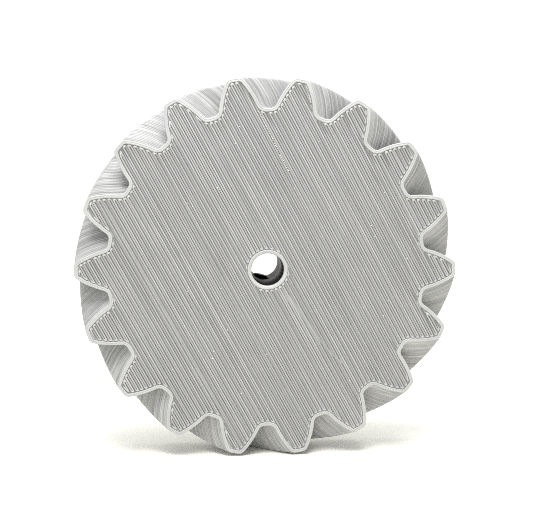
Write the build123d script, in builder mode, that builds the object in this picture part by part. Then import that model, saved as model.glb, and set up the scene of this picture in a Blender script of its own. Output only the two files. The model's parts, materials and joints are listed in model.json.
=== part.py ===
from build123d import *
import math
import os

# Printed helical gear of an extruder drive, with the steel sleeve, captive nut and
# set screw that fix it to a 5 mm motor shaft. Millimetres. The wheel turns about Y:
# its front face looks toward -Y, its hub toward +Y, and it stands on its rim, +Z up.
# The origin is the wheel's centre: on the bore's axis, at the middle of the teeth.

# ---- teeth --------------------------------------------------------------------
TEETH = 18
TIP_RADIUS = 29.5
ROOT_RADIUS = 24.7
PITCH_RADIUS = 27.0  # a transverse module of 3
TOOTH_HALF_WIDTH = 2.49  # at the pitch radius
FLANK_LEAN = 23.1  # degrees between a flank and the tooth's centre line, at the pitch radius
FLANK_RADIUS = 14.0  # the flanks bulge like an involute's
TIP_ROUND = 1.0
ROOT_FILLET = 0.9
FACE_WIDTH = 8.0
TWIST_PER_MM = 2.78  # degrees of right-hand helix for each millimetre of width
FRONT_TOOTH_ANGLE = -0.2  # degrees from +X to the first tooth's centre, at the front face

# ---- hub and bore ---------------------------------------------------------------
HUB_RADIUS = 10.0
HUB_LENGTH = 5.4
HUB_CHAMFER = 0.6
BORE_RADIUS = 2.525  # a close sliding fit on a 5 mm shaft, in the lip and the sleeve alike
LIP_DEPTH = 0.6  # the printed lip in front of the sleeve

# ---- steel sleeve ---------------------------------------------------------------
SLEEVE_OUTER_RADIUS = 3.5
SLEEVE_EDGE_CHAMFER = 0.2
RELIEF_RADIUS = 2.85  # room for the burr that the screw raises on the shaft
RELIEF_LENGTH = 4.0
RELIEF_TAPER = 1.5  # the last of that length narrows again to the bore
CROSS_HOLE_RADIUS = 1.7  # the screw passes freely through the sleeve and the hub

# ---- M3 set screw and nut --------------------------------------------------------
SCREW_ANGLE = 256.0  # degrees from +X, so the screw comes up from below
SCREW_RADIUS = 1.5
SCREW_LENGTH = 8.0
SCREW_POINT_CHAMFER = 0.5  # leaves a flat point 2 mm across
SCREW_END_CHAMFER = 0.3
SCREW_TIP_AT = 1.95  # distance of the flat point from the bore's axis
SOCKET_ACROSS_FLATS = 1.5
SOCKET_DEPTH = 2.0
NUT_ACROSS_FLATS = 5.5
NUT_THICKNESS = 2.4
NUT_HOLE_RADIUS = 1.55
NUT_HOLE_CHAMFER = 0.2
NUT_BEVEL_ANGLE = 30.0
SLOT_AT = 5.3  # distance of the nut slot's inner wall from the bore's axis
SLOT_THICKNESS = 2.5
SLOT_SIDE_CLEARANCE = 0.05

# ---- worked out from the above ------------------------------------------------------
FRONT_Y = -FACE_WIDTH / 2
TEETH_REAR_Y = FACE_WIDTH / 2
REAR_Y = TEETH_REAR_Y + HUB_LENGTH
NUT_CORNER_RADIUS = NUT_ACROSS_FLATS / math.sqrt(3)
SCREW_Y = REAR_Y - NUT_CORNER_RADIUS  # puts the nut's last corner level with the hub's end
TWIST = TWIST_PER_MM * FACE_WIDTH
FLANK_CENTRE_AT = PITCH_RADIUS - FLANK_RADIUS * math.sin(math.radians(FLANK_LEAN))
FLANK_CENTRE_ASIDE = FLANK_RADIUS * math.cos(math.radians(FLANK_LEAN)) - TOOTH_HALF_WIDTH
LENS_REACH = math.sqrt(FLANK_RADIUS**2 - FLANK_CENTRE_ASIDE**2)  # where the two flanks would meet
NUT_AT = SLOT_AT + SLOT_THICKNESS - NUT_THICKNESS  # the screw's thrust holds the nut outward
NUT_BEVEL = (NUT_CORNER_RADIUS - NUT_ACROSS_FLATS / 2) * math.tan(math.radians(NUT_BEVEL_ANGLE))
SCREW_FOOT = Vector(0, SCREW_Y, 0)  # where the screw's line meets the bore's axis
SCREW_OUTWARD = Vector(X=1).rotate(Axis((0, 0, 0), (0, -1, 0)), SCREW_ANGLE)
SCREW_AXIS = Axis(SCREW_FOOT, SCREW_OUTWARD)
SCREW_SECTION = Plane(SCREW_FOOT, x_dir=SCREW_OUTWARD, z_dir=(0, 1, 0))  # x outward, y radius


def across(y):
    """The plane across the wheel at height y on its axis, seen from the front."""
    return Plane(origin=(0, y, 0), x_dir=(1, 0, 0), z_dir=(0, -1, 0))


def along_screw(distance):
    """The plane square to the screw at a distance from the bore's axis, its x toward the rear."""
    return Plane(SCREW_FOOT + SCREW_OUTWARD * distance, x_dir=(0, 1, 0), z_dir=SCREW_OUTWARD)


def at_radius(radius):
    """Picks the corners of a sketch that lie on a circle about its origin."""
    return lambda corner: abs(math.hypot(corner.X, corner.Y) - radius) < 0.01


# ---- a tooth's two flanks, before its tip is cut and its foot joins the disc ------------
with BuildSketch() as tooth_lens:
    with BuildLine():
        top_of_bulge = (0, FLANK_RADIUS - FLANK_CENTRE_ASIDE)
        flank = ThreePointArc((-LENS_REACH, 0), top_of_bulge, (LENS_REACH, 0))
        mirror(flank, about=Plane.XZ)
    make_face()

# ---- the print: teeth, web and hub -----------------------------------------------------
with BuildPart() as helical_gear:
    with BuildSketch(across(TEETH_REAR_Y)) as tooth_outline:
        Circle(ROOT_RADIUS)
        with PolarLocations(FLANK_CENTRE_AT, TEETH, start_angle=FRONT_TOOTH_ANGLE - TWIST):
            add(tooth_lens.sketch)
        Circle(TIP_RADIUS, mode=Mode.INTERSECT)
        fillet(tooth_outline.vertices().filter_by(at_radius(TIP_RADIUS)), TIP_ROUND)
        fillet(tooth_outline.vertices().filter_by(at_radius(ROOT_RADIUS)), ROOT_FILLET)
    with BuildLine() as gear_axis:
        Line((0, TEETH_REAR_Y, 0), (0, FRONT_Y, 0))
    helix = Helix(
        pitch=360 / TWIST_PER_MM,
        height=FACE_WIDTH,
        radius=ROOT_RADIUS,
        center=(0, TEETH_REAR_Y, 0),
        direction=(0, -1, 0),
    )
    sweep(path=gear_axis.line, binormal=helix)
    with BuildSketch(across(REAR_Y)):
        Circle(HUB_RADIUS)
    extrude(amount=HUB_LENGTH + FACE_WIDTH / 2)
    chamfer(helical_gear.edges().group_by(Axis.Y)[-1], HUB_CHAMFER)

    with BuildSketch(across(REAR_Y)):
        Circle(SLEEVE_OUTER_RADIUS)
    extrude(amount=REAR_Y - FRONT_Y - LIP_DEPTH, mode=Mode.SUBTRACT)
    with BuildSketch(across(FRONT_Y)):
        Circle(BORE_RADIUS)
    extrude(amount=-FACE_WIDTH, mode=Mode.SUBTRACT)

    with BuildSketch(along_screw(0)):
        Circle(CROSS_HOLE_RADIUS)
    extrude(amount=2 * HUB_RADIUS, mode=Mode.SUBTRACT)
    with BuildSketch(along_screw(SLOT_AT)):
        slot_width = NUT_ACROSS_FLATS + 2 * SLOT_SIDE_CLEARANCE
        RegularPolygon(slot_width / 2, 6, major_radius=False)
        Rectangle(HUB_LENGTH, slot_width, align=(Align.MIN, Align.CENTER))
    extrude(amount=SLOT_THICKNESS, mode=Mode.SUBTRACT)

# ---- the sleeve in the bore ---------------------------------------------------------------
with BuildPart() as shaft_sleeve:
    sleeve_length = REAR_Y - FRONT_Y - LIP_DEPTH
    with BuildSketch(across(REAR_Y)):
        Circle(SLEEVE_OUTER_RADIUS)
        Circle(BORE_RADIUS, mode=Mode.SUBTRACT)
    extrude(amount=sleeve_length)
    ends = shaft_sleeve.faces().filter_by(Axis.Y)
    mouths = ends.edges().filter_by(lambda edge: edge.radius < SLEEVE_OUTER_RADIUS)
    chamfer(mouths, SLEEVE_EDGE_CHAMFER)
    relief_rear = SCREW_Y + RELIEF_LENGTH / 2
    with BuildSketch(across(relief_rear)):
        Circle(BORE_RADIUS)
    with BuildSketch(across(relief_rear - RELIEF_TAPER)):
        Circle(RELIEF_RADIUS)
    loft(mode=Mode.SUBTRACT)
    with BuildSketch(across(relief_rear - RELIEF_TAPER)):
        Circle(RELIEF_RADIUS)
    extrude(amount=RELIEF_LENGTH - RELIEF_TAPER, mode=Mode.SUBTRACT)
    with BuildSketch(along_screw(0)):
        Circle(CROSS_HOLE_RADIUS)
    extrude(amount=2 * SLEEVE_OUTER_RADIUS, mode=Mode.SUBTRACT)

# ---- the nut in the hub's slot ---------------------------------------------------------------
with BuildPart() as captive_nut:
    with BuildSketch(along_screw(NUT_AT)):
        RegularPolygon(NUT_ACROSS_FLATS / 2, 6, major_radius=False)
    extrude(amount=NUT_THICKNESS)
    with BuildSketch(SCREW_SECTION):
        with Locations((NUT_AT, 0)):
            Polygon(
                (0, 0),
                (0, NUT_ACROSS_FLATS / 2),
                (NUT_BEVEL, NUT_CORNER_RADIUS),
                (NUT_THICKNESS - NUT_BEVEL, NUT_CORNER_RADIUS),
                (NUT_THICKNESS, NUT_ACROSS_FLATS / 2),
                (NUT_THICKNESS, 0),
                align=None,
            )
    revolve(axis=SCREW_AXIS, mode=Mode.INTERSECT)
    with BuildSketch(along_screw(NUT_AT)):
        Circle(NUT_HOLE_RADIUS)
    extrude(amount=NUT_THICKNESS, mode=Mode.SUBTRACT)
    rims = captive_nut.edges().filter_by(GeomType.CIRCLE)
    chamfer(rims.filter_by(lambda rim: abs(rim.radius - NUT_HOLE_RADIUS) < 0.01), NUT_HOLE_CHAMFER)

# ---- the set screw, flat point toward the shaft --------------------------------------------------
with BuildPart() as grub_screw:
    with BuildSketch(SCREW_SECTION):
        with Locations((SCREW_TIP_AT, 0)):
            Polygon(
                (0, 0),
                (0, SCREW_RADIUS - SCREW_POINT_CHAMFER),
                (SCREW_POINT_CHAMFER, SCREW_RADIUS),
                (SCREW_LENGTH - SCREW_END_CHAMFER, SCREW_RADIUS),
                (SCREW_LENGTH, SCREW_RADIUS - SCREW_END_CHAMFER),
                (SCREW_LENGTH, 0),
                align=None,
            )
    revolve(axis=SCREW_AXIS)
    with BuildSketch(along_screw(SCREW_TIP_AT + SCREW_LENGTH)):
        RegularPolygon(SOCKET_ACROSS_FLATS / 2, 6, major_radius=False)
    extrude(amount=-SOCKET_DEPTH, mode=Mode.SUBTRACT)

# ---- one file for each piece -------------------------------------------------------------------
os.makedirs("parts", exist_ok=True)

helical_gear.part.label = "helical_gear"
export_step(helical_gear.part, "parts/helical_gear.step")

shaft_sleeve.part.label = "shaft_sleeve"
export_step(shaft_sleeve.part, "parts/shaft_sleeve.step")

captive_nut.part.label = "captive_nut"
export_step(captive_nut.part, "parts/captive_nut.step")

grub_screw.part.label = "grub_screw"
export_step(grub_screw.part, "parts/grub_screw.step")
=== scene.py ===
import json
import math

import bmesh
import bpy
import numpy as np
from mathutils import Matrix, Vector


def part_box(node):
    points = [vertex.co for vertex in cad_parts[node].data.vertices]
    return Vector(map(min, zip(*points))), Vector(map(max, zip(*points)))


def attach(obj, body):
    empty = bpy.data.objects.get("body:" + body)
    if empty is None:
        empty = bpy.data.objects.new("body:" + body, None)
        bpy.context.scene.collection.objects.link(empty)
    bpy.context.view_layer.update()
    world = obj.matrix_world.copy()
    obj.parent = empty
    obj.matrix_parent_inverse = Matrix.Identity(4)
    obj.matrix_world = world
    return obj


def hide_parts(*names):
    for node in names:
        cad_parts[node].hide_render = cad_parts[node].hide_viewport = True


# The looks of a printed helical gear: every extruded line and layer is real geometry.
# Shapes are worked out in millimetres in the row frame (the wheel turns about Y, its
# front face looks toward -Y), and become metres when a piece is made.

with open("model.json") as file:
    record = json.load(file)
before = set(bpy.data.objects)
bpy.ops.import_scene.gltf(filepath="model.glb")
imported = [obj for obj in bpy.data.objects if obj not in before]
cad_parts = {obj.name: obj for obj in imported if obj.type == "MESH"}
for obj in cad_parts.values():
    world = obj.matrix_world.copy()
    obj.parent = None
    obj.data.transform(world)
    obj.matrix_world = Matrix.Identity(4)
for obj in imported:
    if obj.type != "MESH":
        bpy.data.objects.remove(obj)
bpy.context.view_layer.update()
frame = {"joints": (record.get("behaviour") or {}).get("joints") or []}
rng = np.random.default_rng(seed=20)

MM = 0.001

# ---- the gear's sizes, as in the CAD -----------------------------------------------------
gear_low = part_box("helical_gear")[0] / MM
TIP_RADIUS = 29.5
FRONT_Y = -4.0
REAR_Y = 4.0
HUB_END_Y = 9.4
FACE_WIDTH = REAR_Y - FRONT_Y
MIDDLE_RADIUS = 0.7 * TIP_RADIUS  # of the points between the inner and outer parts of a face's floor
TEETH = 18
ROOT_RADIUS = 24.7
PITCH_RADIUS = 27.0
TOOTH_HALF_WIDTH = 2.49
FLANK_LEAN = math.radians(23.1)
FLANK_RADIUS = 14.0
TIP_ROUND = 1.0
SMALLEST_ROUND = 0.06  # of the tips where an outline is moved far into the print
ROOT_FILLET = 0.9
ROUND_STEPS = 3  # straight pieces of a tip's corner and of a root's fillet
FLANK_STEPS = 4
FRONT_TOOTH_ANGLE = math.radians(-0.2)
TWIST_PER_MM = math.radians(2.78)
HUB_RADIUS = 10.0
HUB_CHAMFER = 0.6
BORE_RADIUS = 2.525
LIP_DEPTH = 0.6
SLEEVE_RADIUS = 3.5
RELIEF_RADIUS = 2.85
RELIEF_LENGTH = 4.0
RELIEF_TAPER = 1.5
CROSS_HOLE_RADIUS = 1.7
CUT_PAST = 1.0  # how far a cut runs past the outer wall that it goes through
CUT_FROM = 1.0  # distance from the wheel's axis where the sleeve's cut starts, in the open bore

# ---- screw, nut and slot -----------------------------------------------------------------
SCREW_OUTWARD = Vector(frame["joints"][0]["axis"])
SCREW_ANGLE = math.atan2(SCREW_OUTWARD.z, SCREW_OUTWARD.x)
SCREW_RADIUS = 1.5
SCREW_LENGTH = 8.0
SCREW_TIP_AT = 1.95
POINT_CHAMFER = 0.5
TAIL_CHAMFER = 0.3
SOCKET_ACROSS_FLATS = 1.5
SOCKET_DEPTH = 2.0
SOCKET_LEAD = 0.06  # depth of the chamfer round its mouth
SOCKET_MOUTH = 1.08  # width of its mouth, to the rest
DRILL_RADIUS = 0.15  # where the cone at its bottom ends
DRILL_DEPTH = 0.35  # of that cone
THREAD_PITCH = 0.5
THREAD_DEPTH = 0.28
THREAD_SLOPE = 1.55  # more than 1, for a flat root
THREAD_CREST = 0.2  # more than 0, for a flat crest
SCREW_ROWS = 12  # rows of points to one turn of the thread
NUT_ROWS = 10
NUT_ACROSS_FLATS = 5.5
NUT_THICKNESS = 2.4
NUT_HOLE_RADIUS = 1.55
NUT_THREAD_DEPTH = 0.2
NUT_SINK = 0.2  # depth of the countersinks at its two faces
NUT_BEVEL = math.radians(30)
NUT_FACE = 0.985  # radius of its round faces, to half its width across flats
SLOT_AT = 5.3
SLOT_THICKNESS = 2.5
SLOT_WIDTH = 5.6
SCREW_Y = HUB_END_Y - NUT_ACROSS_FLATS / math.sqrt(3)

AXIS = (0.0, 0.0)
FLANK_CENTRE = np.array([
    PITCH_RADIUS - FLANK_RADIUS * math.sin(FLANK_LEAN),
    TOOTH_HALF_WIDTH - FLANK_RADIUS * math.cos(FLANK_LEAN),
])

# ---- how it was printed ------------------------------------------------------------------
LINE = 0.347  # width of one extruded line
LAYER = 0.2  # height of one layer
GROOVE = 0.13  # depth of the groove between two lines
EDGE_GROOVE = 0.045  # depth of the groove between the beads that follow an edge
EDGE_ROUND = 0.15  # radius of the outer bead's shoulder
MOUTH_SLOPE = 0.5  # how steeply the inner bead round the bore falls toward it
FLOOR = 0.2  # depth of the plain floor beneath a face's lines
# Heights up the side of a tooth's layer, in layers, and how far the side stands back there.
LAYER_SIDE = [(0, 0.045), (0.15, 0.016), (0.5, 0), (0.85, 0.016), (1, 0.045)]
LAYER_TURN = 0.05  # most degrees that a layer is out of place
LAYER_SLACK = 0.028  # the most that it stands back all round
BULGE = 0.04  # how far the layers swell on the hub, round the bore and in the slot
HUB_SLACK = 0.015  # the most that a layer of the hub stands back
EDGE_BEADS = 2  # beads laid along a face's outline and round its holes
EDGE_LINE = 0.28  # they are thinner than the lines between them
EDGE_WIDTH = EDGE_BEADS * EDGE_LINE
FILL_GAP = 0.17  # from the last edge bead to the fill's turns
FRONT_LINES = math.radians(-61.5)  # direction of the lines on the front face
REAR_LINES = math.radians(28.5)
FIRST_LINE = 0.6  # distance of the first from the outline's top, in lines
SHORTEST_SPAN = 0.3
LONGEST_JUMP = 1.6  # between the ends of neighbouring lines that one path joins
RUN_STEP = 2.5  # between the points of a straight run
SHORTEST_RUN = 0.05
TURN_STEPS = 7
RIDGE_FOOT = 0.22  # a bead's sides end in the floor
# Distances across a bead of fill, in its widths, and the depths there.
RIDGE_SECTION = [
    (-0.5, RIDGE_FOOT), (-0.5, GROOVE), (-0.3, 0.036), (0.0, 0.0),
    (0.3, 0.036), (0.5, GROOVE), (0.5, RIDGE_FOOT),
]
RIDGE_WIDTH = 0.93  # of a line
RIDGE_END = 0.55  # width of its ends, to the rest
WIDTH_NOISE = 0.012  # how uneven it is, to the rest
FILL_DROP = 0.025  # how far the lines lie below the outline's beads
UNEVEN = 0.02  # how much lower than the rest a line usually lies
MOST_UNEVEN = 0.028
RIPPLE = 0.006  # how uneven it is along its run
WANDER = 0.01  # how far a line lies aside
WOBBLE = 0.005  # along its run
PAIR_SHIFT = 0.017  # how far the printer's slack moves every other line aside
PAIR_DROP = 0.02  # how much lower every other line lies
TURN_BLOB = 0.2  # radius of the blob where a line turns back at its upper end
LOW_BLOB = 0.75  # size of the blob at the lower end, to the upper one
BLOB_SIDES = 10
BLOB_ROWS = [(1, 0), (0.85, 0.6), (0.4, 0.92)]  # its radius and height from its foot up
HUB_SEAT_RADIUS = 9.0  # the hub's foot is sunk in the disc
HUB_SEAT_Y = 1.5
HUB_END_RADIUS = HUB_RADIUS - HUB_CHAMFER + LAYER / 2
SEAM_FROM = np.array([-1.4, 24.2])
SEAM_TO = np.array([3.2, 15.2])
SEAM_DOTS = 36
SEAM_SCATTER = 0.03  # how far the dots lie off its line
SEAM_DOT = (0.05, 0.1)  # smallest and largest radius
SPECKS = 60
SPECK = (0.04, 0.1)
SPECKS_WITHIN = (4, 23)  # least and most distance from the axis
SMEAR_DEPTH = 0.078
SMEAR = [  # the nozzle's track across the lines: x, z and its width in line widths
    (1.9, -2.7, 2.0), (3.2, -4.4, 3.2), (4.9, -6.4, 3.0), (6.1, -8.2, 2.2),
    (8.0, -10.9, 1.6), (9.9, -13.2, 1.3), (12.0, -15.0, 1.0), (14.2, -16.4, 0.7),
]

# ---- shading -----------------------------------------------------------------------------
ROUND = 72  # sides of a circle
HUB_ROUND = 144
CUT_ROUND = 48
NUT_ROUND = 96
SCREW_ROUND = 60
SHARP = math.radians(50)  # edges sharper than this stay crisp
# How fine streaks are along x, the wheel's axis and z. On a face, x is turned along its lines.
SIDE_STREAKS = (0.08, 4, 0.08)
FACE_STREAKS = (0.06, 1, 1.2)
EDGE_STREAKS = (0.3, 1, 0.3)
SLEEVE_SCRATCHES = (0.6, 14, 0.6)
# One grey plastic in a colour for each part: the sides, the face's fill and the edge beads differ as
# painted sheen and shade. The sides' streaks run round the wheel along the layers and are partly the
# plastic's own, partly painted shade between the layers.
SIDE_DARK = (0.205, 0.205, 0.205)
SIDE_LIGHT = (0.45, 0.449, 0.448)
FACE_DARK = (0.395, 0.394, 0.397)
FACE_LIGHT = (0.53, 0.528, 0.532)
EDGE_DARK = (0.35, 0.35, 0.347)
EDGE_LIGHT = (0.41, 0.41, 0.406)
# Painted highlight: the seam's dots and the specks are lighter than the rest of the plastic.
BLOB_HIGHLIGHT_DARK = (0.54, 0.538, 0.53)
BLOB_HIGHLIGHT_LIGHT = (0.68, 0.678, 0.67)
GROOVE_PAINTED_SHADE = 0.3  # painted shade in the grooves between lines: the colour there, to the colour on the crests
MOTTLE_SHADE = 0.93  # of its dark patches, to its dark colour
PLASTIC_ROUGHNESS = (0.32, 0.46)
STEEL_DARK = (0.03, 0.028, 0.027)
STEEL_STAINED = (0.11, 0.1, 0.09)
ZINC_DARK = (0.36, 0.37, 0.39)
ZINC_LIGHT = (0.52, 0.52, 0.5)
OXIDE_DARK = (0.018, 0.018, 0.02)
OXIDE_WORN = (0.09, 0.085, 0.08)
FLOOR_WHITE = (0.825, 0.82, 0.755)
FLOOR_SHADE = 0.985  # of its darker patches, to that
FLOOR_RADIUS = 6000.0
WORLD_STRENGTH = 1.02
OVERHEAD_STRENGTH = 1.1
OVERHEAD_ANGLE = math.radians(40)
KEY_PLACE = (-0.01, -0.055, 0.145)  # in metres, as its size is
KEY_SIZE = 0.09
KEY_WATTS = 0.4
CAMERA_PLACE = (-9.4, -138.2, 15.5)
CAMERA_TARGET = (0.35, -4.0, 1.6)
CAMERA_LENS = 58.5
CAMERA_SENSOR = 36
NEAREST_SEEN = 0.005
FILTER_WIDTH = 0.9  # of a pixel


# ---- outlines ----------------------------------------------------------------------------
def turned(points, angle):
    """Points of a plane outline turned about the wheel's axis."""
    c, s = math.cos(angle), math.sin(angle)
    return points @ np.array([[c, s], [-s, c]])


def arc(centre, radius, start, end, steps):
    """Points on an arc, without its first point."""
    a = np.linspace(start, end, steps + 1)[1:]
    return np.column_stack([centre[0] + radius * np.cos(a), centre[1] + radius * np.sin(a)])


def direction(start, end):
    """The angle in which one point lies from another."""
    return math.atan2(end[1] - start[1], end[0] - start[0])


def meeting(from_axis, from_flank_centre):
    """The point beside a tooth at given distances from the wheel's axis and the flank's centre."""
    apart = np.linalg.norm(FLANK_CENTRE)
    along = (from_axis**2 - from_flank_centre**2 + apart**2) / (2 * apart)
    aside = math.sqrt(from_axis**2 - along**2)
    u, v = FLANK_CENTRE / apart
    return np.array([along * u - aside * v, along * v + aside * u])


def half_tooth(inset):
    """From the middle of a tip to the middle of the next valley, moved into the print by inset."""
    tip_round = max(TIP_ROUND - inset, SMALLEST_ROUND)
    corner = meeting(TIP_RADIUS - inset - tip_round, FLANK_RADIUS - inset - tip_round)
    fillet = meeting(ROOT_RADIUS + ROOT_FILLET, FLANK_RADIUS + ROOT_FILLET)
    tip_end, root_start = direction(AXIS, corner), direction(AXIS, fillet)
    flank_start, flank_end = direction(FLANK_CENTRE, corner), direction(FLANK_CENTRE, fillet)
    return np.concatenate([
        arc(AXIS, TIP_RADIUS - inset, -tip_end, 0, 1),
        arc(AXIS, TIP_RADIUS - inset, 0, tip_end, 1),
        arc(corner, tip_round, tip_end, flank_start, ROUND_STEPS),
        arc(FLANK_CENTRE, FLANK_RADIUS - inset, flank_start, flank_end, FLANK_STEPS),
        arc(fillet, ROOT_FILLET + inset, flank_end - math.pi, root_start - math.pi, ROUND_STEPS),
        arc(AXIS, ROOT_RADIUS - inset, root_start, math.pi / TEETH, 1),
    ])


def gear_outline(inset, angle=0.0):
    """The whole toothed outline, anticlockwise seen from the front, starting in a valley."""
    upper = half_tooth(inset)
    lower = upper[-2:0:-1] * (1, -1)
    tooth = np.concatenate([lower, upper])
    turns = (2 * math.pi * i / TEETH for i in range(TEETH))
    return np.concatenate([turned(tooth, angle + t) for t in turns])


def circle(radius, count):
    """A circle about the wheel's axis."""
    a = np.arange(count) * 2 * math.pi / count
    return np.column_stack([radius * np.cos(a), radius * np.sin(a)])


def layer_angle(layer):
    """How far a printed layer's teeth are turned: the helix in steps, clockwise going back."""
    return FRONT_TOOTH_ANGLE - TWIST_PER_MM * layer * LAYER


# ---- meshes ------------------------------------------------------------------------------
def placed(outline, y):
    """A plane outline as points of the row frame, at height y on the wheel's axis."""
    return np.column_stack([outline[:, 0], np.full(len(outline), y), outline[:, 1]])


def ring_faces(rows, count):
    """Quads between successive closed rows of count points each."""
    row, col = np.meshgrid(np.arange(rows - 1), np.arange(count), indexing="ij")
    after = (col + 1) % count
    first = row * count
    quads = np.stack([first + col, first + after, first + count + after, first + count + col], -1)
    return quads.reshape(-1, 4)


class Shape:
    """Points and faces gathered for one piece."""

    def __init__(self):
        self.points = []
        self.faces = []
        self.count = 0

    def add(self, points, faces=()):
        """Adds points, and faces that count from the first of them. Returns that first's number."""
        start = self.count
        self.points.append(np.asarray(points, float))
        self.count += len(points)
        if len(faces):
            self.faces += (np.asarray(faces) + start).tolist()
        return start

    def add_rows(self, rows):
        """Adds closed rows of equal length joined by quads. Returns the first and last row's number."""
        count = len(rows[0])
        start = self.add(np.concatenate(rows), ring_faces(len(rows), count))
        return start, start + (len(rows) - 1) * count

    def add_loop_of_rows(self, rows):
        """Adds closed rows whose last joins the first, as round a ring."""
        first, last = self.add_rows(rows)
        count = len(rows[0])
        for i in range(count):
            j = (i + 1) % count
            self.faces.append([last + i, last + j, first + j, first + i])

    def bridge(self, fine, fine_count, coarse, coarse_count, shift=0):
        """Fills between a row of many points and one of few with flat faces, one for each of the few."""
        step = fine_count // coarse_count
        for j in range(coarse_count):
            edge = [fine + (j * step + i) % fine_count for i in range(step + 1)]
            near = coarse + (j + 1 + shift) % coarse_count
            far = coarse + (j + shift) % coarse_count
            self.faces.append(edge + [near, far])

    def cap(self, row, count):
        """Closes a row with one flat face."""
        self.faces.append(list(range(row, row + count)))

    def mesh(self, name):
        """The shape as a Blender mesh in metres, with every face turned outward."""
        made = bpy.data.meshes.new(name)
        made.from_pydata(np.concatenate(self.points) * MM, [], self.faces)
        work = bmesh.new()
        work.from_mesh(made)
        bmesh.ops.recalc_face_normals(work, faces=work.faces)
        work.to_mesh(made)
        work.free()
        return made


def new_piece(name, shape, body, node, material, cuts=()):
    """A shown object of a shape, less its cuts, tied to its CAD body, node and material slot."""
    piece = bpy.data.objects.new(name, shape.mesh(name))
    bpy.context.scene.collection.objects.link(piece)
    for cut in cuts:
        cut_away(piece, cut)
    piece.data.shade_smooth()
    piece.data.set_sharp_from_angle(angle=SHARP)
    piece.data.materials.clear()
    piece.data.materials.append(material)
    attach(piece, body)
    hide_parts(node)
    return piece


def cut_away(piece, cut):
    """Takes the closed shape cut out of a piece for good."""
    tool = bpy.data.objects.new("cutter", cut.mesh("cutter"))
    bpy.context.scene.collection.objects.link(tool)
    modifier = piece.modifiers.new("cut", "BOOLEAN")
    modifier.operation = "DIFFERENCE"
    modifier.solver = "EXACT"
    modifier.object = tool
    graph = bpy.context.evaluated_depsgraph_get()
    left = bpy.data.meshes.new_from_object(piece.evaluated_get(graph))
    piece.modifiers.clear()
    piece.data = left
    bpy.data.objects.remove(tool)


# ---- the toothed disc --------------------------------------------------------------------
def edge_profile():
    """Distance and depth across the beads along an edge, from its rounded shoulder in to the floor."""
    turns = [math.radians(a) for a in (0, 30, 60)]
    shoulder = [(EDGE_ROUND * (1 - math.cos(a)), EDGE_ROUND * (1 - math.sin(a))) for a in turns]
    beads = [((bead + 0.5 + s) * EDGE_LINE, EDGE_GROOVE * (2 * s) ** 2)
             for bead in range(EDGE_BEADS) for s in (-0.3, 0, 0.3, 0.5)]
    return shoulder + beads[1:] + [(EDGE_WIDTH, FLOOR)]


def face_rows(y, into, angle):
    """The beads along the toothed outline of one face, from the outside in."""
    return [placed(gear_outline(inset, angle), y + into * depth) for inset, depth in edge_profile()]


def layer_rows(count):
    """The sides of the printed layers, each one swollen in its middle and turned from the last."""
    rows = []
    for layer in range(count):
        angle = layer_angle(layer) + math.radians(rng.uniform(-LAYER_TURN, LAYER_TURN))
        slack = rng.uniform(0, LAYER_SLACK)
        front = FRONT_Y + layer * LAYER
        heights = LAYER_SIDE
        if layer == 0:
            heights = LAYER_SIDE[3:]  # the shoulder at the edge takes the rest
            angle = layer_angle(0)
        if layer == count - 1:
            heights = LAYER_SIDE[:2]
            angle = layer_angle(count - 1)
        for part, inset in heights:
            rows.append(placed(gear_outline(inset + slack, angle), front + part * LAYER))
    return rows


def bore_rows(start_angle):
    """From the ring of beads round the bore, through the lip and the sleeve's seat, to the hub's."""
    profile = [(BORE_RADIUS + distance, FRONT_Y + depth + MOUTH_SLOPE * max(0, EDGE_LINE - distance))
               for distance, depth in edge_profile()]
    profile.reverse()
    sleeve_from = FRONT_Y + LIP_DEPTH
    for step in range(2, round(LIP_DEPTH / LAYER)):
        y = FRONT_Y + step * LAYER
        profile += [(BORE_RADIUS, y - LAYER / 4), (BORE_RADIUS + BULGE, y), (BORE_RADIUS, y + LAYER / 4)]
    profile += [(BORE_RADIUS, sleeve_from), (SLEEVE_RADIUS, sleeve_from)]
    profile += [(SLEEVE_RADIUS, HUB_SEAT_Y), (HUB_SEAT_RADIUS, HUB_SEAT_Y)]
    profile.append((HUB_SEAT_RADIUS, REAR_Y - FLOOR))
    return [placed(turned(circle(r, ROUND), start_angle), y) for r, y in profile]


def face_edges(piece, material):
    """Gives a piece's beads along the edges of a face their own material: the plastic in a colour of its
    own, as painted sheen and shade.
    """
    piece.data.materials.append(material)
    for polygon in piece.data.polygons:
        y = polygon.center.y / MM
        if min(abs(y - plane) for plane in (FRONT_Y, REAR_Y, HUB_END_Y)) < EDGE_ROUND:
            polygon.material_index = 1


def gear_body(material, edges):
    """The toothed disc without the lines that fill its faces."""
    layers = round(FACE_WIDTH / LAYER)
    front, rear = layer_angle(0), layer_angle(layers - 1)
    half_pitch = math.pi / TEETH
    shape = Shape()
    rows = face_rows(FRONT_Y, 1, front)[::-1] + layer_rows(layers) + face_rows(REAR_Y, -1, rear)
    outline_front, outline_rear = shape.add_rows(rows)
    bore_front, bore_rear = shape.add_rows(bore_rows(front - half_pitch))
    middle = circle(MIDDLE_RADIUS, TEETH)
    floor_front = shape.add(placed(turned(middle, front - half_pitch), FRONT_Y + FLOOR))
    floor_rear = shape.add(placed(turned(middle, rear - half_pitch), REAR_Y - FLOOR))
    points = len(rows[0])
    shape.bridge(outline_front, points, floor_front, TEETH)
    shape.bridge(outline_rear, points, floor_rear, TEETH)
    shape.bridge(bore_front, ROUND, floor_front, TEETH)
    shape.bridge(bore_rear, ROUND, floor_rear, TEETH, shift=1)
    piece = new_piece("gear_body", shape, "gear", "helical_gear", material)
    face_edges(piece, edges)


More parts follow.
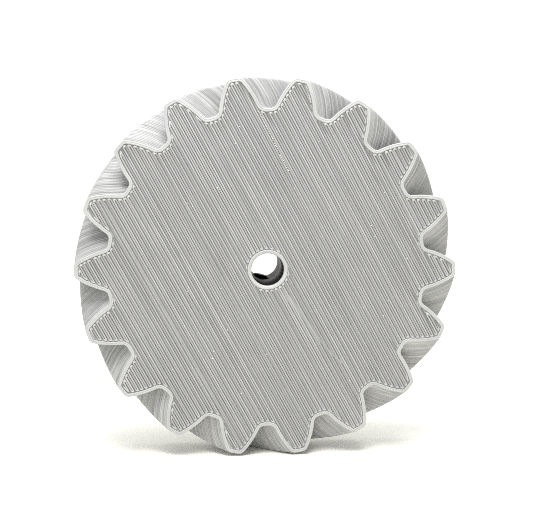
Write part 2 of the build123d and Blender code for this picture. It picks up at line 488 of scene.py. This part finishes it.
# ---- the lines that fill a face ----------------------------------------------------------
def spans_of(loop, height):
    """The stretches of the line at a height that lie inside a closed outline."""
    after = np.roll(loop, -1, axis=0)
    crossed = (loop[:, 1] > height) != (after[:, 1] > height)
    a, b = loop[crossed], after[crossed]
    x = sorted(a[:, 0] + (height - a[:, 1]) / (b[:, 1] - a[:, 1]) * (b[:, 0] - a[:, 0]))
    return list(zip(x[::2], x[1::2]))


def without(spans, taken):
    """Spans less the parts that others take."""
    for low, high in taken:
        parts = [part for a, b in spans for part in ((a, min(b, low)), (max(a, high), b))]
        spans = [(a, b) for a, b in parts if b > a]
    return spans


def fill_rows(outer, holes):
    """The height of each line of fill, and its spans inside the outer outline and outside the holes."""
    top = outer[:, 1].max()
    rows = []
    for i in range(int(2 * top / LINE)):
        height = top - (i + FIRST_LINE) * LINE
        spans = spans_of(outer, height)
        for hole in holes:
            spans = without(spans, spans_of(hole, height))
        rows.append((height, [(a, b) for a, b in spans if b - a > SHORTEST_SPAN]))
    return rows


def serpentines(rows):
    """Back-and-forth paths that join the spans of neighbouring lines, as a printer lays them."""
    left = [list(spans) for _, spans in rows] + [[]]
    paths = []
    for first in range(len(rows)):
        while left[first]:
            path, row, end = [], first, 1
            span = left[row].pop(0)
            while span:
                path.append((span[1 - end], span[end], rows[row][0]))
                row += 1
                last = path[-1][1]
                near = [s for s in left[row] if abs(s[end] - last) < LONGEST_JUMP]
                span = min(near, key=lambda s: abs(s[end] - last), default=None)
                if span:
                    left[row].remove(span)
                end = 1 - end
            paths.append(path)
    return paths


def u_turn(start, end, outward):
    """Points round the turn from one line's end to the next's."""
    reach = 2 / 3 * LINE * outward  # such handles make the curve nearly a half circle
    t = np.linspace(0, 1, TURN_STEPS)[:, None]
    a, d = np.array(start), np.array(end)
    b, c = a + (reach, 0), d + (reach, 0)
    return a * (1 - t) ** 3 + 3 * b * t * (1 - t) ** 2 + 3 * c * t**2 * (1 - t) + d * t**3


def path_points(path):
    """The centre line of one back-and-forth path, its crest's depth at each point, and its turns."""
    points, depths, blobs = [], [], []
    for i, (begin, end, height) in enumerate(path):
        way = 1 if end > begin else -1
        start = begin if i == 0 else begin + way * LINE / 2
        stop = end if i == len(path) - 1 else end - way * LINE / 2
        if way * (stop - start) < SHORTEST_RUN:
            start = stop = (begin + end) / 2
        steps = max(2, int(abs(stop - start) / RUN_STEP) + 1)
        odd = i % 2
        aside = rng.normal(0, WANDER) + (PAIR_SHIFT if odd else -PAIR_SHIFT)
        heights = height + aside + rng.normal(0, WOBBLE, steps)
        run = np.column_stack([np.linspace(start, stop, steps), heights])
        if points:
            turn = u_turn(points[-1][-1], run[0], -way)[1:-1]
            points.append(turn)
            depths.append(np.full(len(turn), FILL_DROP))
            blobs.append((turn[len(turn) // 2] + (way * TURN_BLOB / 2, 0), 1 if way > 0 else LOW_BLOB))
        points.append(run)
        low = FILL_DROP + min(abs(rng.normal(0, UNEVEN)), MOST_UNEVEN) + PAIR_DROP * odd
        depths.append(low + np.abs(rng.normal(0, RIPPLE, steps)))
    return np.concatenate(points), np.concatenate(depths), blobs


def ridge(shape, points, crest, y, into, broad=1.0):
    """A rounded bead along a path on a face, with its two ends closed."""
    ahead = np.gradient(points, axis=0)
    ahead /= np.linalg.norm(ahead, axis=1)[:, None] + 1e-9
    side = np.column_stack([-ahead[:, 1], ahead[:, 0]])
    count = len(points)
    narrow = np.ones(count)
    narrow[[0, -1]] = RIDGE_END
    width = broad * LINE * RIDGE_WIDTH * narrow * (1 + rng.normal(0, WIDTH_NOISE, count))
    crest = crest + (1 - narrow) * GROOVE
    rows = []
    for s, depth in RIDGE_SECTION:
        at = points + side * (s * width)[:, None]
        deep = np.full(count, depth) if depth > GROOVE else crest + depth * (1 - crest / GROOVE)
        rows.append(np.column_stack([at[:, 0], y + into * deep, at[:, 1]]))
    corners = len(rows)
    sections = np.stack(rows, 1).reshape(-1, 3)
    start = shape.add(sections, ring_faces(count, corners))
    shape.cap(start, corners)
    shape.cap(start + (count - 1) * corners, corners)


def fill_lines(shape, outer, holes, slant, y, into):
    """Covers the area between outlines with back-and-forth beads that run in one direction."""
    outer = turned(outer, -slant)
    holes = [turned(hole, -slant) for hole in holes]
    for path in serpentines(fill_rows(outer, holes)):
        points, crest, blobs = path_points(path)
        ridge(shape, turned(points, slant), crest, y, into)
        for blob, size in blobs:
            size *= rng.uniform(0.8, 1)
            dome(shape, turned(blob, slant), TURN_BLOB * size, y, into, GROOVE * size)


def front_fill(material):
    """The beads that fill the front face, between the outline's and the bore's."""
    outline = gear_outline(EDGE_WIDTH + FILL_GAP, layer_angle(0))
    shape = Shape()
    holes = [circle(BORE_RADIUS + EDGE_WIDTH + FILL_GAP, ROUND)]
    fill_lines(shape, outline, holes, FRONT_LINES, FRONT_Y, 1)
    smear = np.array(SMEAR)
    ridge(shape, smear[:, :2], np.full(len(smear), SMEAR_DEPTH), FRONT_Y, 1, smear[:, 2])
    return new_piece("front_fill", shape, "gear", "helical_gear", material)


def rear_fill(material):
    """The beads that fill the rear face round the hub."""
    last = layer_angle(round(FACE_WIDTH / LAYER) - 1)
    outline = gear_outline(EDGE_WIDTH + FILL_GAP, last)
    shape = Shape()
    fill_lines(shape, outline, [circle(HUB_RADIUS + FILL_GAP, ROUND)], REAR_LINES, REAR_Y, -1)
    return new_piece("rear_fill", shape, "gear", "helical_gear", material)


def dome(shape, centre, radius, y, into, height=GROOVE):
    """A tiny blob that rises to a height above a face's grooves."""
    rows = [placed(circle(wide * radius, BLOB_SIDES) + centre, y + into * (GROOVE - high * height))
            for wide, high in BLOB_ROWS]
    first, last = shape.add_rows(rows)
    shape.cap(first, BLOB_SIDES)
    shape.cap(last, BLOB_SIDES)


def front_blobs(material):
    """The dotted seam where two runs of the front's fill meet, and stray specks of plastic."""
    shape = Shape()
    seam = np.linspace(SEAM_FROM, SEAM_TO, SEAM_DOTS)
    for dot in seam + rng.normal(0, SEAM_SCATTER, (SEAM_DOTS, 2)):
        dome(shape, dot, rng.uniform(*SEAM_DOT), FRONT_Y, 1)
    for _ in range(SPECKS):
        angle = rng.uniform(0, 2 * math.pi)
        distance = math.sqrt(rng.uniform(*(limit**2 for limit in SPECKS_WITHIN)))
        speck = (distance * math.cos(angle), distance * math.sin(angle))
        dome(shape, speck, rng.uniform(*SPECK), FRONT_Y, 1)
    return new_piece("front_blobs", shape, "gear", "helical_gear", material)


# ---- the hub -----------------------------------------------------------------------------
def hub_profile():
    """Radius and height round the hub's wall: its foot in the disc, its layers and its end face."""
    profile = [(SLEEVE_RADIUS, HUB_SEAT_Y), (HUB_SEAT_RADIUS, HUB_SEAT_Y)]
    profile += [(HUB_SEAT_RADIUS, REAR_Y - FLOOR), (HUB_RADIUS - BULGE, REAR_Y - FLOOR)]
    layers = round((HUB_END_Y - REAR_Y) / LAYER)
    for layer in range(layers):
        y = REAR_Y + layer * LAYER
        past_chamfer = y + LAYER / 2 - (HUB_END_Y - HUB_CHAMFER)
        radius = HUB_RADIUS - max(0, past_chamfer) - rng.uniform(0, HUB_SLACK)
        profile.append((radius - BULGE, y))
        if layer < layers - 1:
            profile += [(radius, y + LAYER / 2), (radius - BULGE, y + LAYER)]
    beads = edge_profile()
    profile += [(HUB_END_RADIUS - distance, HUB_END_Y - depth) for distance, depth in beads]
    profile += [(SLEEVE_RADIUS + distance, HUB_END_Y - depth) for distance, depth in beads[::-1]]
    return profile


def along_screw(points):
    """Points whose x is toward the rear and z outward along the screw, put in the row frame."""
    outward = np.array(SCREW_OUTWARD)
    rear = np.array([0, 1.0, 0])
    basis = np.stack([rear, np.cross(outward, rear), outward])
    return np.asarray(points) @ basis + (0, SCREW_Y, 0)


def cylinder_along_screw(radius, start, end):
    """A closed cylinder on the screw's axis, to cut with."""
    shape = Shape()
    ring = circle(radius, CUT_ROUND)
    rows = [along_screw(np.column_stack([ring, np.full(CUT_ROUND, z)])) for z in (start, end)]
    first, last = shape.add_rows(rows)
    shape.cap(first, CUT_ROUND)
    shape.cap(last, CUT_ROUND)
    return shape


def slot_row(y, swell):
    """The slot's section at one height: it narrows below the screw to fit the nut's lower corner."""
    corner = SLOT_WIDTH / math.sqrt(3)
    half = min(SLOT_WIDTH / 2, (y - (SCREW_Y - corner)) * math.sqrt(3)) - swell
    near, far = SLOT_AT + swell, SLOT_AT + SLOT_THICKNESS - swell
    return along_screw([(y - SCREW_Y, side * half, z) for z, side in
                        ((near, -1), (near, 1), (far, 1), (far, -1))])


def slot_cut():
    """The nut's slot with the print's layers on its walls, to cut with."""
    shape = Shape()
    rows = []
    layer = math.ceil((SCREW_Y - SLOT_WIDTH / math.sqrt(3)) / LAYER)
    while layer * LAYER < HUB_END_Y + LAYER:
        rows += [slot_row(layer * LAYER, 0), slot_row((layer + 0.5) * LAYER, BULGE / 2)]
        layer += 1
    first, last = shape.add_rows(rows)
    shape.cap(first, 4)
    shape.cap(last, 4)
    return shape


def gear_hub(material, edges):
    """The hub, with its slot for the nut and the screw's passage."""
    shape = Shape()
    shape.add_loop_of_rows([placed(circle(r, HUB_ROUND), y) for r, y in hub_profile()])
    passage = cylinder_along_screw(CROSS_HOLE_RADIUS, SLEEVE_RADIUS - CUT_PAST / 2, HUB_RADIUS + CUT_PAST)
    cuts = [slot_cut(), passage]
    piece = new_piece("gear_hub", shape, "gear", "helical_gear", material, cuts)
    face_edges(piece, edges)


def slot_outline(grown):
    """The slot's rectangle on the hub's end, grown by a distance and rounded by it."""
    half = SLOT_WIDTH / 2
    middle, reach = SLOT_AT + SLOT_THICKNESS / 2, SLOT_THICKNESS / 2
    corners = [(middle + reach, half, 0), (middle - reach, half, 90),
               (middle - reach, -half, 180), (middle + reach, -half, 270)]
    steps = 6
    before = 90 / steps  # an arc leaves out its first point
    parts = [arc((x, z), grown, math.radians(a - before), math.radians(a + 90), steps + 1)
             for x, z, a in corners]
    return turned(np.concatenate(parts), SCREW_ANGLE)


def hub_fill(material):
    """The bead round the slot and the beads that fill the hub's end."""
    shape = Shape()
    loop = slot_outline(LINE / 2)
    ridge(shape, np.concatenate([loop, loop[:1]]), np.zeros(len(loop) + 1), HUB_END_Y, -1)
    holes = [circle(SLEEVE_RADIUS + EDGE_WIDTH + FILL_GAP, ROUND), slot_outline(LINE + FILL_GAP)]
    outer = circle(HUB_END_RADIUS - EDGE_WIDTH - FILL_GAP, ROUND)
    fill_lines(shape, outer, holes, FRONT_LINES, HUB_END_Y, -1)
    return new_piece("hub_fill", shape, "gear", "helical_gear", material)


# ---- the metal parts ---------------------------------------------------------------------
def shaft_sleeve(material):
    """The steel tube in the bore: broken edges, a relief in its middle and the screw's hole."""
    front, rear = FRONT_Y + LIP_DEPTH, HUB_END_Y
    relief = RELIEF_LENGTH / 2
    chamfer, bevel = 0.2, 0.05  # of the edges inside and outside
    profile = [
        (BORE_RADIUS, front + chamfer),
        (BORE_RADIUS, SCREW_Y - relief),
        (RELIEF_RADIUS, SCREW_Y - relief),
        (RELIEF_RADIUS, SCREW_Y + relief - RELIEF_TAPER),
        (BORE_RADIUS, SCREW_Y + relief),
        (BORE_RADIUS, rear - chamfer),
        (BORE_RADIUS + chamfer, rear),
        (SLEEVE_RADIUS - bevel, rear),
        (SLEEVE_RADIUS, rear - bevel),
        (SLEEVE_RADIUS, front + bevel),
        (SLEEVE_RADIUS - bevel, front),
        (BORE_RADIUS + chamfer, front),
    ]
    shape = Shape()
    shape.add_loop_of_rows([placed(circle(r, HUB_ROUND), y) for r, y in profile])
    cuts = [cylinder_along_screw(CROSS_HOLE_RADIUS, CUT_FROM, SLEEVE_RADIUS + CUT_PAST)]
    return new_piece("sleeve", shape, "gear", "shaft_sleeve", material, cuts)


def thread_depth(angles, z):
    """How far below the crest a metric thread lies, from 0 to 1, round the screw at height z."""
    phase = (z / THREAD_PITCH - angles / (2 * math.pi)) % 1
    from_crest = (0.5 - np.abs(phase - 0.5)) / 0.5
    return np.clip(from_crest * THREAD_SLOPE - THREAD_CREST, 0, 1)


def turned_row(angles, radii, z):
    """A closed row about the screw's axis at height z."""
    radii = np.broadcast_to(radii, angles.shape)
    heights = np.full(len(angles), z)
    return along_screw(np.column_stack([radii * np.cos(angles), radii * np.sin(angles), heights]))


def hexagon(angles, across_flats):
    """Distance to a hexagon's side in each direction, with a corner toward the rear."""
    return across_flats / 2 / np.cos(angles % (math.pi / 3) - math.pi / 6)


def captive_nut(material):
    """The nut: bevelled corners, countersunk hole and internal thread."""
    angles = np.arange(NUT_ROUND) * 2 * math.pi / NUT_ROUND
    start, end = SLOT_AT + SLOT_THICKNESS - NUT_THICKNESS, SLOT_AT + SLOT_THICKNESS
    flat_radius = NUT_ACROSS_FLATS / 2 * NUT_FACE
    mouth = NUT_HOLE_RADIUS + NUT_THREAD_DEPTH
    side = hexagon(angles, NUT_ACROSS_FLATS)
    bevel = (side - flat_radius) * math.tan(NUT_BEVEL)
    shape = Shape()
    rows = [turned_row(angles, flat_radius, start), turned_row(angles, side, start + bevel),
            turned_row(angles, side, end - bevel), turned_row(angles, flat_radius, end),
            turned_row(angles, mouth, end)]
    last = start + 0.95 * NUT_SINK  # just past the row where the second countersink starts
    for z in np.arange(end - NUT_SINK, last, -THREAD_PITCH / NUT_ROWS):
        rows.append(turned_row(angles, mouth - NUT_THREAD_DEPTH * thread_depth(angles, z), z))
    rows.append(turned_row(angles, mouth, start))
    shape.add_loop_of_rows(rows)
    return new_piece("nut", shape, "gear", "captive_nut", material)


def grub_screw(material):
    """The set screw: flat point, M3 thread and hexagon socket."""
    angles = np.arange(SCREW_ROUND) * 2 * math.pi / SCREW_ROUND
    tip, end = SCREW_TIP_AT, SCREW_TIP_AT + SCREW_LENGTH
    rows = [turned_row(angles, SCREW_RADIUS - POINT_CHAMFER, tip)]
    for z in np.linspace(tip, end, 1 + round(SCREW_LENGTH / THREAD_PITCH * SCREW_ROWS))[1:-1]:
        threaded = SCREW_RADIUS - THREAD_DEPTH * thread_depth(angles, z)
        point = SCREW_RADIUS - POINT_CHAMFER + (z - tip)
        rim = SCREW_RADIUS - TAIL_CHAMFER + (end - z)
        rows.append(turned_row(angles, np.minimum(threaded, min(point, rim)), z))
    socket = hexagon(angles, SOCKET_ACROSS_FLATS)
    bottom = end - SOCKET_DEPTH
    rows += [
        turned_row(angles, SCREW_RADIUS - TAIL_CHAMFER, end),
        turned_row(angles, socket * SOCKET_MOUTH, end),
        turned_row(angles, socket, end - SOCKET_LEAD),
        turned_row(angles, socket, bottom),
        turned_row(angles, DRILL_RADIUS, bottom - DRILL_DEPTH),
    ]
    shape = Shape()
    first, last = shape.add_rows(rows)
    shape.cap(first, SCREW_ROUND)
    shape.cap(last, SCREW_ROUND)
    return new_piece("set_screw", shape, "screw", "grub_screw", material)


# ---- materials ---------------------------------------------------------------------------
class Paint:
    """A procedural material in the making: its nodes work in millimetres of the row frame."""

    def __init__(self, name, metallic=0.0):
        self.material = bpy.data.materials.new(name)
        self.material.use_nodes = True
        self.nodes = self.material.node_tree.nodes
        self.links = self.material.node_tree.links
        self.shader = self.nodes["Principled BSDF"]
        self.shader.inputs["Metallic"].default_value = metallic
        self.place = self.nodes.new("ShaderNodeTexCoord").outputs["Object"]

    def noise(self, scale, detail=3.0, fineness=(1, 1, 1), turn=0.0):
        """Noise with features of 1/scale millimetres, finer by a factor along each axis turned about Y."""
        mapping = self.nodes.new("ShaderNodeMapping")
        mapping.vector_type = "TEXTURE"
        mapping.inputs["Rotation"].default_value = (0, -turn, 0)
        mapping.inputs["Scale"].default_value = [MM / factor for factor in fineness]
        self.links.new(self.place, mapping.inputs["Vector"])
        noise = self.nodes.new("ShaderNodeTexNoise")
        noise.inputs["Scale"].default_value = scale
        noise.inputs["Detail"].default_value = detail
        self.links.new(mapping.outputs["Vector"], noise.inputs["Vector"])
        return noise.outputs["Fac"]

    def spread(self, value, low, high, start=0.3, end=0.7):
        """A value from start to end made to run from low to high."""
        ranged = self.nodes.new("ShaderNodeMapRange")
        limits = {"From Min": start, "From Max": end, "To Min": low, "To Max": high}
        for socket, number in limits.items():
            ranged.inputs[socket].default_value = number
        self.links.new(value, ranged.inputs["Value"])
        return ranged.outputs["Result"]

    def mix(self, factor, first, second):
        """One colour turned into another by a factor."""
        mixed = self.nodes.new("ShaderNodeMix")
        mixed.data_type = "RGBA"
        self.links.new(factor, mixed.inputs["Factor"])
        for socket, colour in ((mixed.inputs["A"], first), (mixed.inputs["B"], second)):
            if isinstance(colour, tuple):
                socket.default_value = (*colour, 1)
            else:
                self.links.new(colour, socket)
        return mixed.outputs["Result"]

    def depth_below(self, plane, bottom):
        """Nought on a face's plane, and one at the bottom of the grooves between its lines: the mask of
        their painted shade.
        """
        split = self.nodes.new("ShaderNodeSeparateXYZ")
        self.links.new(self.place, split.inputs["Vector"])
        return self.spread(split.outputs["Y"], 0, 1, plane * MM, bottom * MM)

    def bump(self, value, distance, normal=None):
        """Small relief, in millimetres."""
        bumped = self.nodes.new("ShaderNodeBump")
        bumped.inputs["Distance"].default_value = distance * MM
        self.links.new(value, bumped.inputs["Height"])
        if normal:
            self.links.new(normal, bumped.inputs["Normal"])
        return bumped.outputs["Normal"]

    def finish(self, colour, roughness, normal):
        """The material, with its colour, roughness and relief in place."""
        self.links.new(colour, self.shader.inputs["Base Color"])
        self.links.new(roughness, self.shader.inputs["Roughness"])
        self.links.new(normal, self.shader.inputs["Normal"])
        return self.material


def printed_plastic(name, dark, light, fineness, turn=0.0, face=None):
    """Grey printed plastic: silky, faintly mottled, with streaks that follow its printed lines, on the
    sides partly painted shade between the layers; on a face, painted shade in its grooves.
    """
    paint = Paint(name)
    streaks = paint.noise(1.0, 5, fineness, turn)
    mottle = paint.noise(0.25, 3)
    grain = paint.noise(9, 2)
    colour = paint.mix(paint.spread(streaks, 0, 1), dark, light)
    colour = paint.mix(paint.spread(mottle, 0, 0.35), colour, tuple(MOTTLE_SHADE * c for c in dark))
    # Painted shade: the colour darkens with depth toward the bottom of a face's grooves.
    if face:
        groove = tuple(GROOVE_PAINTED_SHADE * c for c in dark)
        colour = paint.mix(paint.depth_below(*face), colour, groove)
    roughness = paint.spread(streaks, *PLASTIC_ROUGHNESS)
    return paint.finish(colour, roughness, paint.bump(grain, 0.006, paint.bump(streaks, 0.012)))


def filled_face(name, slant, y, into):
    """Printed plastic for the lines that fill a face, with painted shade in the grooves between them."""
    bottom = y + into * GROOVE
    return printed_plastic(name, FACE_DARK, FACE_LIGHT, FACE_STREAKS, slant, (y, bottom))


def sleeve_steel():
    """Dark drawn steel with turned scratches and warm stains."""
    paint = Paint("sleeve_steel_looks", metallic=1.0)
    scratches = paint.noise(1.0, 4, SLEEVE_SCRATCHES)
    stains = paint.noise(0.8, 3)
    colour = paint.mix(paint.spread(stains, 0, 1), STEEL_DARK, STEEL_STAINED)
    return paint.finish(colour, paint.spread(scratches, 0.35, 0.6), paint.bump(scratches, 0.02))


def zinc_steel():
    """Bright zinc plating, faintly clouded."""
    paint = Paint("zinc_steel_looks", metallic=1.0)
    clouds = paint.noise(1.2, 4)
    grain = paint.noise(12, 2)
    colour = paint.mix(paint.spread(clouds, 0, 1), ZINC_DARK, ZINC_LIGHT)
    return paint.finish(colour, paint.spread(clouds, 0.3, 0.5), paint.bump(grain, 0.006))


def black_oxide():
    """Black oxide on steel, oily and slightly worn on its crests."""
    paint = Paint("black_oxide_looks", metallic=0.9)
    wear = paint.noise(2.5, 4)
    grain = paint.noise(15, 2)
    colour = paint.mix(paint.spread(wear, 0, 1, 0.55, 0.8), OXIDE_DARK, OXIDE_WORN)
    return paint.finish(colour, paint.spread(grain, 0.3, 0.5), paint.bump(grain, 0.005))


# ---- studio ------------------------------------------------------------------------------
def floor():
    """A broad pale floor under the lowest tooth."""
    outline = circle(FLOOR_RADIUS, ROUND)
    mesh = bpy.data.meshes.new("floor")
    mesh.from_pydata([(x, y, gear_low.z) for x, y in outline], [], [range(ROUND)])
    mesh.transform(Matrix.Scale(MM, 4))
    ground = bpy.data.objects.new("floor", mesh)
    bpy.context.scene.collection.objects.link(ground)
    paint = Paint("floor_paper")
    tone = paint.noise(0.05, 2)
    colour = paint.mix(paint.spread(tone, 0, 1), FLOOR_WHITE, tuple(FLOOR_SHADE * c for c in FLOOR_WHITE))
    mesh.materials.append(paint.finish(colour, paint.spread(tone, 0.85, 0.9), paint.bump(tone, 0.01)))


def area_light(name, place, size, watts):
    """A square soft light aimed at the gear; place in metres."""
    lamp = bpy.data.lights.new(name, "AREA")
    lamp.size = size
    lamp.energy = watts
    light = bpy.data.objects.new(name, lamp)
    light.location = place
    light.rotation_mode = "QUATERNION"
    light.rotation_quaternion = (-Vector(place)).to_track_quat("-Z", "Y")
    bpy.context.scene.collection.objects.link(light)


def studio():
    """White surroundings, a broad light straight overhead and a near one, a little in front."""
    scene = bpy.context.scene
    scene.view_settings.view_transform = "Standard"
    world = bpy.data.worlds.new("studio")
    world.use_nodes = True
    background = world.node_tree.nodes["Background"]
    background.inputs["Color"].default_value = (1, 1, 1, 1)
    background.inputs["Strength"].default_value = WORLD_STRENGTH
    scene.world = world
    scene.cycles.use_denoising = False
    scene.cycles.filter_width = FILTER_WIDTH
    area_light("key", KEY_PLACE, KEY_SIZE, KEY_WATTS)
    sun = bpy.data.lights.new("overhead", "SUN")
    sun.energy = OVERHEAD_STRENGTH
    sun.angle = OVERHEAD_ANGLE
    scene.collection.objects.link(bpy.data.objects.new("overhead", sun))


def camera():
    """The view: a little to the left and above, close enough for strong perspective."""
    lens = bpy.data.cameras.new("camera")
    lens.lens = CAMERA_LENS
    lens.sensor_width = CAMERA_SENSOR
    lens.clip_start = NEAREST_SEEN
    view = bpy.data.objects.new("camera", lens)
    view.location = Vector(CAMERA_PLACE) * MM
    view.rotation_mode = "QUATERNION"
    view.rotation_quaternion = (Vector(CAMERA_TARGET) - Vector(CAMERA_PLACE)).to_track_quat("-Z", "Y")
    bpy.context.scene.collection.objects.link(view)
    bpy.context.scene.camera = view


# ---- everything --------------------------------------------------------------------------
studio()
camera()
floor()
# The plastic's copies for the sides, the faces and the edge beads differ in colour as painted sheen and
# shade.
sides = printed_plastic("plastic_sides", SIDE_DARK, SIDE_LIGHT, SIDE_STREAKS)
front = filled_face("plastic_front", FRONT_LINES, FRONT_Y, 1)
rear = filled_face("plastic_rear", REAR_LINES, REAR_Y, -1)
hub_end = filled_face("plastic_hub_end", FRONT_LINES, HUB_END_Y, -1)
edges = printed_plastic("plastic_edges", EDGE_DARK, EDGE_LIGHT, EDGE_STREAKS)
# Painted highlight: the seam's dots and the specks get the lighter blob colours.
blobs = printed_plastic("plastic_blobs_painted_highlight", BLOB_HIGHLIGHT_DARK, BLOB_HIGHLIGHT_LIGHT, (1, 1, 1))
gear_body(sides, edges)
front_fill(front)
rear_fill(rear)
front_blobs(blobs)
gear_hub(sides, edges)
hub_fill(hub_end)
shaft_sleeve(sleeve_steel())
captive_nut(zinc_steel())
grub_screw(black_oxide())
